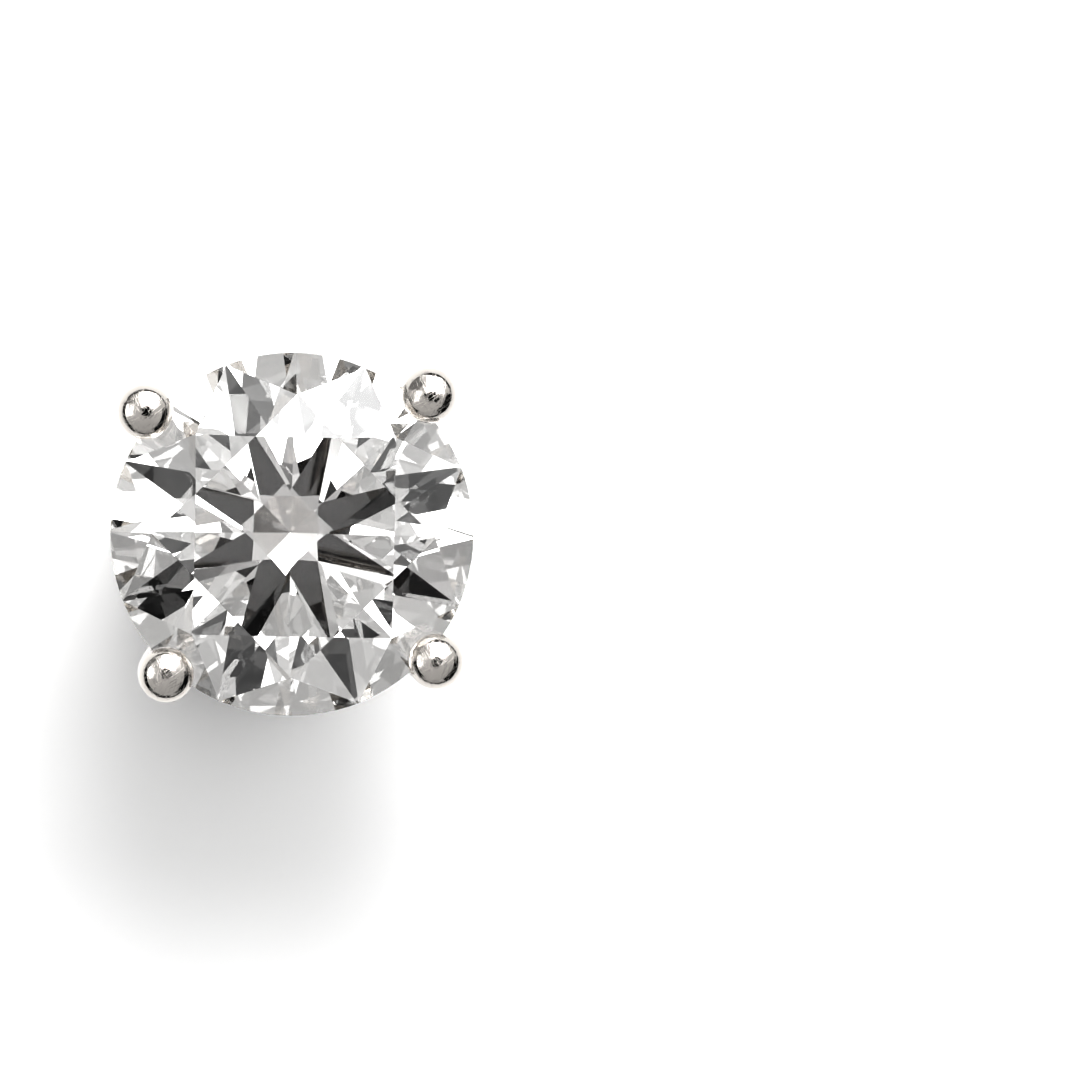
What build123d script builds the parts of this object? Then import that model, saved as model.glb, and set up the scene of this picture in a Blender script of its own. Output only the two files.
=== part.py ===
from build123d import *
from math import atan2, cos, degrees, radians, sin, sqrt, tan
import os

# A four-prong stud earring that stands on its clutch with the stone facing up.
# Millimetres, +Z up. The origin is on the post's axis, in the clutch's flat back face.
# The prongs stand near the diagonals of X and Y, and the table's eight sides nearly face
# X, Y and those diagonals.

# ---- driving dimensions ------------------------------------------------------------
stone_diameter = 6.5         # a round brilliant of about one carat
table_share = 0.593          # table, corner to corner, over the diameter
crown_angle = 34.0           # slope of the eight kite facets
pavilion_angle = 40.45       # slope of the eight pavilion mains
girdle_share = 0.032         # girdle thickness at the mains, over the diameter
star_share = 0.513           # how far the stars reach from the table's edge to the girdle
lower_half_share = 0.75      # how far the lower halves reach from the girdle to the culet
symmetry = 8                 # mains, stars and kites round the stone
stone_turn = -1.2            # how far the stone is turned in its seat, in degrees

wire_radius = 0.49           # prong wire
bead_edge_radius = 0.30      # rounding where a prong's side turns into its dome
bead_dome_radius = 0.70      # the dome on top of a prong
tip_height = 0.56            # where the dome begins, above the girdle's middle
rail_radius = 0.30           # gallery rail, a ring of round wire
rail_drop = 1.35             # the rail's centre, below the girdle's middle
base_radius = 1.95           # round plate under the stone, which closes the basket
base_thickness = 0.50
base_edge = 0.15             # rounding of the plate's two rims
culet_gap = 0.25             # free space between the stone's point and the plate
seat_gap = 0.02              # free space between the stone and the metal that holds it

post_radius = 0.40           # 0.8 mm wire, the common size for pierced ears
post_length = 9.5            # from the plate's back face to the tip
post_tip_round = 0.25
solder_radius = 0.20         # fillet of solder where the post meets the plate

clutch_radius = 2.45         # plain round clutch on the post's end
clutch_drum_height = 1.90
clutch_waist_height = 0.40
clutch_waist_radius = 2.05
clutch_disc_height = 0.80
clutch_disc_radius = 2.30
clutch_edge = 0.30           # rounding of the clutch's rims
clutch_back_edge = 0.12      # rounding of the rim it stands on
clutch_floor = 1.00          # metal between the post's tip and the flat back face
bore_gap = 0.03              # free space round the post in the clutch

# One row for each prong, as the setter bent it: its azimuth, its tip's distance from the
# axis, and how far the tip leans towards the axis and counter-clockwise, in degrees.
prongs = [
    {"azimuth": 46.0, "tip_distance": 3.49, "lean_in": 4.0, "lean_round": 16.0},
    {"azimuth": 140.0, "tip_distance": 3.46, "lean_in": -6.0, "lean_round": 3.0},
    {"azimuth": 227.5, "tip_distance": 3.37, "lean_in": -4.0, "lean_round": -2.0},
    {"azimuth": 318.4, "tip_distance": 3.40, "lean_in": 6.0, "lean_round": 0.0},
]
tip_length = 0.30            # how much of a prong leans as its tip does
tip_bend = 0.9               # radius of the bend below that
shoulder_distance = 0.07     # how much further out a prong stands beside the girdle
shoulder_drop = 0.55         # where a prong's slope turns upright, below the girdle
shoulder_bend = 1.5          # radius of that bend
foot_distance = 1.10         # where a prong's axis ends inside the plate, from the axis

# ---- sizes worked out from them ----------------------------------------------------
stone_radius = stone_diameter / 2
girdle_half = girdle_share * stone_diameter / 2
table_corner = table_share * stone_radius
half_step = radians(180 / symmetry)
crown_height = (stone_radius - table_corner) * tan(radians(crown_angle))
pavilion_depth = stone_radius * tan(radians(pavilion_angle))

table_level = girdle_half + crown_height
star_tip_distance = table_corner * cos(half_step) + star_share * (
    stone_radius - table_corner * cos(half_step)
)
star_tip_level = girdle_half + tan(radians(crown_angle)) * (
    stone_radius - star_tip_distance * cos(half_step)
)
lower_tip_distance = stone_radius * (1 - lower_half_share)
lower_tip_level = -girdle_half - tan(radians(pavilion_angle)) * (
    stone_radius - lower_tip_distance * cos(half_step)
)

clutch_height = clutch_drum_height + clutch_waist_height + clutch_disc_height
tip_level = clutch_floor
plate_back = tip_level + post_length
plate_front = plate_back + base_thickness
culet_level = plate_front + culet_gap
girdle_level = culet_level + pavilion_depth + girdle_half
foot_drop = girdle_level - (plate_back + plate_front) / 2   # a prong's foot, below the girdle


def at(distance, azimuth, height):
    """A point by its distance from the axis, azimuth in radians and height."""
    return Vector(distance * cos(azimuth), distance * sin(azimuth), height)


def facet(a, b, c):
    """The plane through three points, facing away from the stone's centre."""
    normal = (b - a).cross(c - a).normalized()
    if normal.dot(a) < 0:
        normal = -normal
    return Plane(origin=a, z_dir=normal)


def crown_facets(main):
    """The kite at azimuth main, and the star and two upper halves after it."""
    star = main + half_step
    apex = at(star_tip_distance, star, star_tip_level)
    before = at(star_tip_distance, main - half_step, star_tip_level)
    corners = [at(table_corner, a, table_level) for a in (main, main + 2 * half_step)]
    tips = [at(stone_radius, a, girdle_half) for a in (main, main + 2 * half_step)]
    rim = at(stone_radius, star, girdle_half)
    return [
        facet(corners[0], apex, before),
        facet(corners[0], corners[1], apex),
        facet(apex, tips[0], rim),
        facet(apex, tips[1], rim),
    ]


def pavilion_facets(main):
    """The pavilion main at azimuth main, and the two lower halves after it."""
    star = main + half_step
    meet = at(lower_tip_distance, star, lower_tip_level)
    before = at(lower_tip_distance, main - half_step, lower_tip_level)
    culet = Vector(0, 0, -girdle_half - pavilion_depth)
    tips = [at(stone_radius, a, -girdle_half) for a in (main, main + 2 * half_step)]
    rim = at(stone_radius, star, -girdle_half)
    return [
        facet(culet, meet, before),
        facet(meet, tips[0], rim),
        facet(meet, tips[1], rim),
    ]


def cut_stone():
    """The round brilliant about its girdle's middle."""
    mains = [(2 * k + 1) * half_step for k in range(symmetry)]
    planes = [Plane(origin=(0, 0, table_level), z_dir=(0, 0, 1))]
    planes += [p for m in mains for p in crown_facets(m) + pavilion_facets(m)]
    stone = Cylinder(stone_radius, 2 * stone_diameter)
    for plane in planes:
        stone = split(stone, bisect_by=plane, keep=Keep.BOTTOM)
    return stone


def seat():
    """What the setter's bur clears for the stone: the turned shape just outside it."""
    half = make_face(
        Polyline(
            (0, -girdle_half - pavilion_depth),
            (lower_tip_distance, lower_tip_level),
            (stone_radius, -girdle_half),
            (stone_radius, girdle_half),
            (star_tip_distance, star_tip_level),
            (table_corner, table_level),
            (0, table_level),
            close=True,
        )
    )
    grown = offset(half, seat_gap, kind=Kind.INTERSECTION)
    grown &= Pos(stone_radius, 0) * Rectangle(stone_diameter, 2 * stone_diameter)
    return revolve(Plane.XZ * grown, axis=Axis.Z)


def prong_dome():
    """The domed end of a prong about its own axis, beginning at z = 0."""
    inset = wire_radius - bead_edge_radius
    reach = bead_dome_radius - bead_edge_radius
    dome_centre = -sqrt(reach**2 - inset**2)
    turn = degrees(atan2(-dome_centre, inset))
    with BuildPart() as dome:
        with BuildSketch(Plane.XZ):
            with BuildLine():
                Polyline((0, dome_centre + bead_dome_radius), (0, 0), (wire_radius, 0))
                CenterArc((inset, 0), bead_edge_radius, 0, turn)
                CenterArc((0, dome_centre), bead_dome_radius, turn, 90 - turn)
            make_face()
        revolve(axis=Axis.Z)
    return dome.part


def prong(azimuth, tip_distance, lean_in, lean_round):
    """One prong about the girdle's middle: a bent round wire, domed and notched."""
    end = Vector(tip_distance, 0, tip_height)
    lean = Vector(-tan(radians(lean_in)), tan(radians(lean_round)), 1).normalized()
    path = FilletPolyline(
        (foot_distance, 0, -foot_drop),
        (tip_distance + shoulder_distance, 0, -shoulder_drop),
        end - lean * tip_length,
        end,
        radius=(shoulder_bend, tip_bend),
    )
    foot = Plane(origin=path @ 0, z_dir=path % 0)
    tip = Plane(origin=path @ 1, z_dir=path % 1)
    wire = sweep(foot * Circle(wire_radius), path=path)
    return Rot(0, 0, azimuth) * (wire + tip * prong_dome() - seat())


def gallery_rail():
    """The ring of round wire that ties the prongs together below the girdle."""
    shoulder = sum(row["tip_distance"] for row in prongs) / len(prongs) + shoulder_distance
    spread = (shoulder - foot_distance) / (foot_drop - shoulder_drop)
    return Pos(0, 0, -rail_drop) * Torus(
        shoulder - spread * (rail_drop - shoulder_drop), rail_radius
    )


def base_plate():
    """The round plate that the prongs, the rail's basket and the post are soldered to."""
    plate = Pos(0, 0, (plate_back + plate_front) / 2) * Cylinder(
        base_radius, base_thickness
    )
    return fillet(plate.edges().filter_by(GeomType.CIRCLE), base_edge)


def ear_post():
    """The straight post with a rounded tip."""
    post = Pos(0, 0, tip_level + post_length / 2) * Cylinder(post_radius, post_length)
    return fillet(post.edges().group_by(Axis.Z)[0], post_tip_round)


def base_and_post():
    """The plate with the post soldered upright on its back."""
    joined = base_plate() + ear_post()
    joint = [
        e
        for e in joined.edges().filter_by(GeomType.CIRCLE)
        if abs(e.radius - post_radius) < 1e-3 and abs(e.center().Z - plate_back) < 1e-3
    ]
    return fillet(joint, solder_radius)


def setting():
    """Prongs, rail, plate and post, soldered into one piece."""
    basket = gallery_rail()
    for row in prongs:
        basket += prong(**row)
    foot_cut = plate_front - base_thickness / 4
    metal = Pos(0, 0, girdle_level) * basket
    metal -= Pos(0, 0, foot_cut - stone_diameter / 2) * Cylinder(
        stone_diameter, stone_diameter
    )
    return metal + base_and_post()


def clutch():
    """The plain round clutch that keeps the stud in the ear, with a blind bore."""
    drum = Pos(0, 0, clutch_drum_height / 2) * Cylinder(
        clutch_radius, clutch_drum_height
    )
    rims = drum.edges().filter_by(GeomType.CIRCLE).sort_by(Axis.Z)
    drum = fillet(rims[-1], clutch_edge)
    drum = fillet(drum.edges().filter_by(GeomType.CIRCLE).sort_by(Axis.Z)[0], clutch_back_edge)
    disc_middle = clutch_height - clutch_disc_height / 2
    disc = Pos(0, 0, disc_middle) * Cylinder(clutch_disc_radius, clutch_disc_height)
    disc = fillet(disc.edges().filter_by(GeomType.CIRCLE), clutch_edge)
    waist = Pos(0, 0, clutch_height / 2) * Cylinder(
        clutch_waist_radius, clutch_height - 2 * clutch_edge
    )
    bore_floor = tip_level - bore_gap
    bore = Pos(0, 0, (bore_floor + clutch_height) / 2) * Cylinder(
        post_radius + bore_gap, clutch_height - bore_floor
    )
    return drum + disc + waist - bore


nodes = {
    "stone": Pos(0, 0, girdle_level) * Rot(0, 0, stone_turn) * cut_stone(),
    "setting": setting(),
    "clutch": clutch(),
}

os.makedirs("parts", exist_ok=True)
for name, shape in nodes.items():
    solids = shape.solids()
    export_step(solids[0] if len(solids) == 1 else shape, f"parts/{name}.step")
    print(name, len(solids), "solid, volume", round(sum(s.volume for s in solids), 2))
print("girdle at", round(girdle_level, 3), "table at",
      round(girdle_level + girdle_half + crown_height, 3))
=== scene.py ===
"""A stud earring that stands on its clutch on a pale table, under soft studio light."""
from math import cos, pi, radians, sin, tan

import bpy
from mathutils import Matrix, Vector


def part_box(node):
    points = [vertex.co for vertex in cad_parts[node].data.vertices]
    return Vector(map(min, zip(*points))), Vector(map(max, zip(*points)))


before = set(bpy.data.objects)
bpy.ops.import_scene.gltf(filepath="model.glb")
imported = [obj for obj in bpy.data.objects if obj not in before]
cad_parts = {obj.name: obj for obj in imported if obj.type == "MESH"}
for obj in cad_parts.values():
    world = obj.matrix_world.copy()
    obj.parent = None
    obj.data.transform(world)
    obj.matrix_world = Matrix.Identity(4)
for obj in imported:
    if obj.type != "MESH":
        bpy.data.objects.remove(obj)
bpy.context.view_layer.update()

# ---- sizes in metres, worked out from the frame -------------------------------------
stone_low, stone_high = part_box("stone")
stone_diameter = stone_high.x - stone_low.x
girdle_depth = 0.1532 * stone_diameter  # from the stone's top down to its girdle
girdle_centre = Vector((0, 0, stone_high.z - girdle_depth))

# ---- camera -------------------------------------------------------------------------
camera_distance = 0.28           # from the girdle's centre
camera_lean_left = 2.75          # degrees from the stone's axis, towards -X
camera_lean_up = 2.8             # degrees from the stone's axis, towards +Y
frame_width = 2.974 * stone_diameter    # what the picture's width spans at the girdle
aim_right = 0.683 * stone_diameter      # the picture's centre lies this far beside the stone
aim_down = 0.015 * stone_diameter
sensor_width = 36.0              # millimetres
nearest_seen, farthest_seen = 0.01, 10.0

# ---- light: azimuths from +X and angles off straight up, in degrees -----------------
# A grey room that brightens behind the stud, with the key softbox there, a smaller one at
# the left, a dim corner between them, dark sides low at the right and the left, and the dark
# camera overhead. Panels have their half width and half height as tangents of angles.
room_dim = (0.36, 0.36, 0.36)
room_bright = (0.67, 0.67, 0.67)
bright_azimuth, bright_off_axis = 90, 100
key = (3.1, 3.1, 3.1)
softbox = (1.4, 1.4, 1.4)
dim = (0.22, 0.22, 0.22)
dark = (0.005, 0.005, 0.005)
panels = [
    {"azimuth": -29, "off_axis": 68, "half": (0.70, 0.45), "light": dark},
    {"azimuth": 202, "off_axis": 76, "half": (0.45, 0.20), "light": dark},
    {"azimuth": 143, "off_axis": 67, "half": (0.30, 0.30), "light": dim},
    {"azimuth": 80, "off_axis": 45, "half": (0.45, 0.55), "light": key},
    {"azimuth": 175, "off_axis": 50, "half": (0.25, 0.15), "light": softbox},
]
panel_edge = 0.05                # softness of a panel's edge, as a tangent
camera_half_angle = 17           # how large the dark camera looks from the stud
camera_edge = 1                  # softness of its outline, in degrees
horizon_height = 0.20            # the dark beyond the table reaches this sine of elevation
horizon_edge = 0.04
horizon_light = (0.03, 0.03, 0.03)
backdrop = (1.2, 1.2, 1.2)       # what the camera itself sees above the table
lamp_azimuth, lamp_off_axis = 85, 17.5  # the overhead lamp that casts the soft shadow
lamp_distance = 0.10
lamp_half_angle = 7.0
lamp_level = 0.22                # how much brighter it makes the table
exposure_stops = 0.66            # the picture is printed bright and with strong contrast
contrast_gamma = 0.72

# ---- finishes -----------------------------------------------------------------------
table_half = 1.0
table_colour = 0.80
table_roughness = 0.9
table_gloss = 0.1
diamond_colour = (1.0, 0.992, 0.978, 1)     # a very faint warm tone
diamond_index = 2.418            # refractive index
girdle_roughness = 0.4           # the girdle is ground, not polished
upright_limit = 0.05             # a normal that rises less than this is the girdle's
polished_gold = (0.74, 0.71, 0.675, 1)
worn_gold = (0.70, 0.67, 0.635, 1)
polished_roughness = 0.03
added_by_wear = 0.06             # roughness that full wear adds
wear_size, wear_detail, wear_range = 0.0003, 4.0, (0.35, 0.7)
relief_depth = 1e-6              # one unit of the metal's bump, in metres
ripple_size, ripple_detail, ripple_height = 0.00012, 3.0, 2.0
scratch_height, scratch_detail = 0.9, 2.0
scratch_range = (0.58, 0.66)     # the noise turns into a scratch between these
scratch_tilt = (0.3, 0.2)        # radians about X and Y, so that no face lies along the noise
scratches = [
    {"turn": 35, "length": 0.0004, "width": 0.00002},
    {"turn": -50, "length": 0.0003, "width": 0.00002},
    {"turn": 80, "length": 0.0005, "width": 0.00002},
]

# ---- rendering ----------------------------------------------------------------------
light_bounces = 32
inner_bounces = 24               # reflections and refractions inside the stone
brightest_indirect = 10.0
studio_map_size = 1024           # how finely the studio is sampled for its bright parts
mix_first, mix_second, mixed = 6, 7, 2      # a colour mix node's inputs and output


def node_tree(owner):
    """An empty node tree on a material or world, and a function that adds nodes to it."""
    owner.use_nodes = True
    tree = owner.node_tree
    tree.nodes.clear()

    def add(kind, **settings):
        node = tree.nodes.new(kind)
        for name, value in settings.items():
            setattr(node, name, value)
        return node

    return tree, add


def math_node(tree, add, operation, first, second=None, third=None):
    """A math node whose inputs are sockets or plain numbers."""
    node = add("ShaderNodeMath", operation=operation)
    for socket, value in zip(node.inputs, (first, second, third)):
        if isinstance(value, bpy.types.NodeSocket):
            tree.links.new(value, socket)
        elif value is not None:
            socket.default_value = value
    return node.outputs[0]


def direction(azimuth, off_axis):
    """The unit vector at an azimuth from +X and an angle from straight up, in degrees."""
    turn, tilt = radians(azimuth), radians(off_axis)
    return Vector((sin(tilt) * cos(turn), sin(tilt) * sin(turn), cos(tilt)))


def dot_with(tree, add, vector, axis):
    """How far a vector reaches along an axis."""
    node = add("ShaderNodeVectorMath", operation="DOT_PRODUCT")
    tree.links.new(vector, node.inputs[0])
    node.inputs[1].default_value = axis
    return node.outputs["Value"]


def ramp(tree, add, value, low, high):
    """0 below low, 1 above high, smooth between."""
    node = add("ShaderNodeMapRange", interpolation_type="SMOOTHSTEP")
    tree.links.new(value, node.inputs["Value"])
    node.inputs["From Min"].default_value = low
    node.inputs["From Max"].default_value = high
    return node.outputs["Result"]


def disc_mask(tree, add, vector, towards, half_angle):
    """1 inside a round patch of the studio, 0 outside, with a soft edge."""
    cosine = dot_with(tree, add, vector, towards)
    outer = cos(radians(half_angle + camera_edge))
    inner = cos(radians(half_angle - camera_edge))
    return ramp(tree, add, cosine, outer, inner)


def panel_mask(tree, add, vector, azimuth, off_axis, half):
    """1 inside a rectangle in the studio, 0 outside, with a soft edge."""
    centre = direction(azimuth, off_axis)
    level = Vector((-sin(radians(azimuth)), cos(radians(azimuth)), 0))
    steep = centre.cross(level)
    facing = dot_with(tree, add, vector, centre)
    ahead = math_node(tree, add, "MAXIMUM", facing, 1e-3)   # kept off zero to divide by
    mask = math_node(tree, add, "GREATER_THAN", facing, 0.0)
    for axis, reach in ((level, half[0]), (steep, half[1])):
        offset = math_node(tree, add, "DIVIDE", dot_with(tree, add, vector, axis), ahead)
        offset = math_node(tree, add, "ABSOLUTE", offset)
        outside = ramp(tree, add, offset, reach - panel_edge, reach + panel_edge)
        inside = math_node(tree, add, "SUBTRACT", 1.0, outside)
        mask = math_node(tree, add, "MULTIPLY", mask, inside)
    return mask


def over(tree, add, below, mask, light):
    """Covers the light below with one light colour, where the mask is 1."""
    mix = add("ShaderNodeMix", data_type="RGBA")
    tree.links.new(mask, mix.inputs["Factor"])
    tree.links.new(below, mix.inputs[mix_first])
    mix.inputs[mix_second].default_value = (*light, 1)
    return mix.outputs[mixed]


def camera_lean():
    """The unit vector from the stone towards the camera."""
    lean = Vector((-sin(radians(camera_lean_left)), sin(radians(camera_lean_up)), 0))
    lean.z = (1 - lean.length_squared) ** 0.5
    return lean


def room_light(tree, add, vector):
    """The bare room: dim in front of the stud, bright behind it, dark beyond the table."""
    towards = dot_with(tree, add, vector, direction(bright_azimuth, bright_off_axis))
    share = math_node(tree, add, "MULTIPLY_ADD", towards, 0.5, 0.5)  # from 0 to 1
    room = add("ShaderNodeMix", data_type="RGBA")
    tree.links.new(share, room.inputs["Factor"])
    room.inputs[mix_first].default_value = (*room_dim, 1)
    room.inputs[mix_second].default_value = (*room_bright, 1)
    height = dot_with(tree, add, vector, Vector((0, 0, 1)))
    low, high = horizon_height - horizon_edge, horizon_height + horizon_edge
    horizon = math_node(tree, add, "SUBTRACT", 1.0, ramp(tree, add, height, low, high))
    return over(tree, add, room.outputs[mixed], horizon, horizon_light)


def studio_world():
    """A grey room with softboxes, dark sides and the dark camera overhead."""
    world = bpy.data.worlds.new("studio")
    bpy.context.scene.world = world
    tree, add = node_tree(world)
    vector = add("ShaderNodeTexCoord").outputs["Generated"]
    light = room_light(tree, add, vector)
    for row in panels:
        mask = panel_mask(tree, add, vector, row["azimuth"], row["off_axis"], row["half"])
        light = over(tree, add, light, mask, row["light"])
    mask = disc_mask(tree, add, vector, camera_lean(), camera_half_angle)
    light = over(tree, add, light, mask, dark)
    seen = add("ShaderNodeLightPath").outputs["Is Camera Ray"]
    light = over(tree, add, light, seen, backdrop)
    background = add("ShaderNodeBackground")
    tree.links.new(light, background.inputs["Color"])
    output = add("ShaderNodeOutputWorld")
    tree.links.new(background.outputs[0], output.inputs["Surface"])
    world.cycles.sampling_method = "MANUAL"
    world.cycles.sample_map_resolution = studio_map_size


def overhead_lamp():
    """A round soft lamp that lights the table alone, and so casts the stud's soft shadow."""
    towards = direction(lamp_azimuth, lamp_off_axis)
    irradiance = lamp_level * pi / table_colour
    data = bpy.data.lights.new("overhead_lamp", "AREA")
    data.shape = "DISK"
    data.size = 2 * lamp_distance * tan(radians(lamp_half_angle))
    data.energy = irradiance * pi * lamp_distance**2 / cos(radians(lamp_off_axis))
    lamp = bpy.data.objects.new("overhead_lamp", data)
    bpy.context.scene.collection.objects.link(lamp)
    turn = towards.to_track_quat("Z", "Y").to_matrix().to_4x4()
    lamp.matrix_world = Matrix.Translation(lamp_distance * towards) @ turn
    lamp.visible_glossy = False
    lamp.visible_transmission = False
    lamp.visible_camera = False


def finish(tree, add, shader):
    """Connects a shader to its material's output."""
    output = add("ShaderNodeOutputMaterial")
    tree.links.new(shader.outputs[0], output.inputs["Surface"])


def diamond():
    """Clear diamond with polished facets and a ground girdle."""
    material = bpy.data.materials.new("diamond")
    tree, add = node_tree(material)
    shader = add("ShaderNodeBsdfPrincipled")
    shader.inputs["Base Color"].default_value = diamond_colour
    shader.inputs["Transmission Weight"].default_value = 1.0
    shader.inputs["IOR"].default_value = diamond_index
    split = add("ShaderNodeSeparateXYZ")
    tree.links.new(add("ShaderNodeNewGeometry").outputs["Normal"], split.inputs[0])
    upright = math_node(tree, add, "ABSOLUTE", split.outputs["Z"])
    girdle = math_node(tree, add, "LESS_THAN", upright, upright_limit)
    roughness = math_node(tree, add, "MULTIPLY", girdle, girdle_roughness)
    tree.links.new(roughness, shader.inputs["Roughness"])
    finish(tree, add, shader)
    return material


def streaks(tree, add, turn, length, width):
    """Noise drawn out along one direction, for scratches that lie side by side."""
    place = add("ShaderNodeMapping", vector_type="TEXTURE")
    tree.links.new(add("ShaderNodeTexCoord").outputs["Object"], place.inputs["Vector"])
    place.inputs["Rotation"].default_value = (*scratch_tilt, radians(turn))
    place.inputs["Scale"].default_value = (length, width, length)
    noise = add("ShaderNodeTexNoise")
    noise.inputs["Scale"].default_value = 1.0
    noise.inputs["Detail"].default_value = scratch_detail
    tree.links.new(place.outputs["Vector"], noise.inputs["Vector"])
    return ramp(tree, add, noise.outputs["Fac"], *scratch_range)


def speckle(tree, add, size, detail):
    """Even noise with features of one size in metres."""
    noise = add("ShaderNodeTexNoise")
    noise.inputs["Scale"].default_value = 1 / size
    noise.inputs["Detail"].default_value = detail
    tree.links.new(add("ShaderNodeTexCoord").outputs["Object"], noise.inputs["Vector"])
    return noise.outputs["Fac"]


def white_gold(name):
    """Hand-polished white gold: fine crossing scratches over a slightly uneven surface."""
    material = bpy.data.materials.new(name)
    tree, add = node_tree(material)
    shader = add("ShaderNodeBsdfPrincipled")
    shader.inputs["Metallic"].default_value = 1.0
    ripple = speckle(tree, add, ripple_size, ripple_detail)
    height = math_node(tree, add, "MULTIPLY", ripple, ripple_height)
    for row in scratches:
        scratch = streaks(tree, add, row["turn"], row["length"], row["width"])
        height = math_node(tree, add, "MULTIPLY_ADD", scratch, scratch_height, height)
    bump = add("ShaderNodeBump")
    bump.inputs["Distance"].default_value = relief_depth
    tree.links.new(height, bump.inputs["Height"])
    tree.links.new(bump.outputs["Normal"], shader.inputs["Normal"])
    wear = ramp(tree, add, speckle(tree, add, wear_size, wear_detail), *wear_range)
    roughness = math_node(tree, add, "MULTIPLY_ADD", wear, added_by_wear, polished_roughness)
    tree.links.new(roughness, shader.inputs["Roughness"])
    tone = add("ShaderNodeMix", data_type="RGBA")
    tree.links.new(wear, tone.inputs["Factor"])
    tone.inputs[mix_first].default_value = polished_gold
    tone.inputs[mix_second].default_value = worn_gold
    tree.links.new(tone.outputs[mixed], shader.inputs["Base Color"])
    finish(tree, add, shader)
    return material


def table_top():
    """The pale table that the stud stands on."""
    half = table_half
    mesh = bpy.data.meshes.new("table_top")
    corners = [(-half, -half, 0), (half, -half, 0), (half, half, 0), (-half, half, 0)]
    mesh.from_pydata(corners, [], [(0, 1, 2, 3)])
    floor = bpy.data.objects.new("table_top", mesh)
    bpy.context.scene.collection.objects.link(floor)
    material = bpy.data.materials.new("table_white")
    tree, add = node_tree(material)
    shader = add("ShaderNodeBsdfPrincipled")
    shader.inputs["Base Color"].default_value = (table_colour, table_colour, table_colour, 1)
    shader.inputs["Roughness"].default_value = table_roughness
    shader.inputs["Specular IOR Level"].default_value = table_gloss
    finish(tree, add, shader)
    mesh.materials.append(material)


def picture_axes(back):
    """The directions right and up in a picture seen along -back, with +Y upwards in it."""
    right = Vector((0, 1, 0)).cross(back).normalized()
    return right, back.cross(right)


def camera():
    """The camera overhead, turned so that the stone stands left of the picture's centre."""
    lean = camera_lean()
    place = girdle_centre + camera_distance * lean
    right, up = picture_axes(lean)
    aim = girdle_centre + aim_right * right - aim_down * up
    back = (place - aim).normalized()
    right, up = picture_axes(back)
    data = bpy.data.cameras.new("camera")
    data.sensor_width = sensor_width
    data.lens = sensor_width * (place - aim).length / frame_width
    data.clip_start, data.clip_end = nearest_seen, farthest_seen
    view = bpy.data.objects.new("camera", data)
    bpy.context.scene.collection.objects.link(view)
    turn = Matrix((right, up, back)).transposed().to_4x4()
    view.matrix_world = Matrix.Translation(place) @ turn
    bpy.context.scene.camera = view


def render_settings():
    """The picture's grade, and enough bounces for light inside the stone."""
    scene = bpy.context.scene
    scene.view_settings.view_transform = "Standard"
    scene.view_settings.exposure = exposure_stops
    scene.view_settings.gamma = contrast_gamma
    scene.cycles.max_bounces = light_bounces
    scene.cycles.glossy_bounces = inner_bounces
    scene.cycles.transmission_bounces = inner_bounces
    scene.cycles.sample_clamp_indirect = brightest_indirect
    scene.cycles.caustics_reflective = True
    scene.cycles.caustics_refractive = True


studio_world()
overhead_lamp()
table_top()
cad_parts["stone"].data.materials[0] = diamond()
for name in ("setting", "clutch"):
    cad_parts[name].data.materials[0] = white_gold(f"{name}_gold")
camera()
render_settings()
